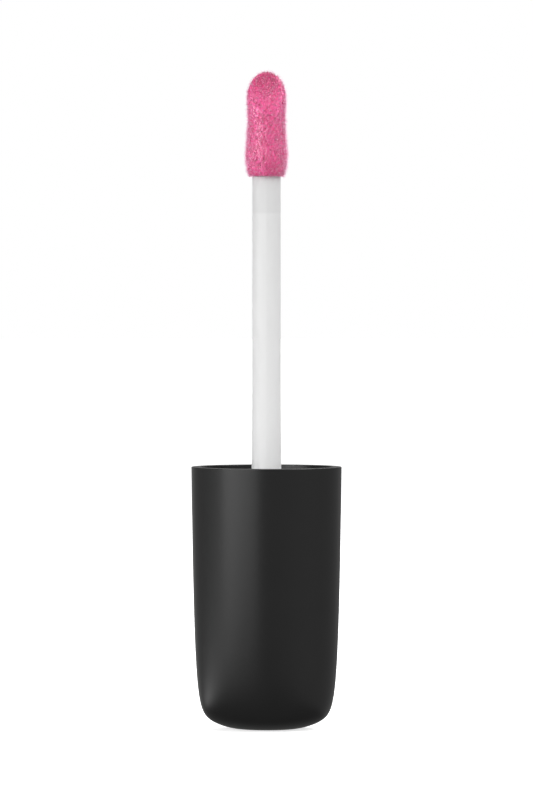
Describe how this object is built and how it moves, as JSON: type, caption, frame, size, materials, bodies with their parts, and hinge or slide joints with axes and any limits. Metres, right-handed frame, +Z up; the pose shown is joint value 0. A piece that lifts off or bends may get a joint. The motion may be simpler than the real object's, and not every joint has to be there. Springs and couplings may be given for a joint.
{
  "type": "lip gloss cap with applicator wand",
  "caption": "Tapered matte black screw cap standing on its closed end, with an upright white wand and a pink flocked doe-foot tip for dipping into and applying lip gloss.",
  "frame": {"origin": "middle of the small flat on the cap's closed end, which it stands on", "axes": "+Z up along the cap's and wand's common axis, from the closed end to the flocked tip; -Y is where the tip's slanted face looks"},
  "size_m": [0.019, 0.019, 0.0831],
  "materials": {
    "soft_touch_black": "soft-touch matte",
    "hot_melt": "translucent hot-melt adhesive",
    "weight_steel": "turned, oiled",
    "liner_black": "satin as moulded",
    "gasket_foam": "closed-cell foam",
    "stem_white": "milky translucent satin",
    "core_elastomer": "soft as moulded",
    "flock_glue": "cured adhesive film",
    "flock_pink": "nylon flock pile"
  },
  "bodies": {
    "root": {"overcap": "soft_touch_black", "weight_glue": "hot_melt", "cap_weight": "weight_steel", "inner_cap": "liner_black", "neck_gasket": "gasket_foam", "wand_stem": "stem_white", "applicator_core": "core_elastomer", "flock_adhesive": "flock_glue", "applicator_flock": "flock_pink"}
  },
  "joints": []
}
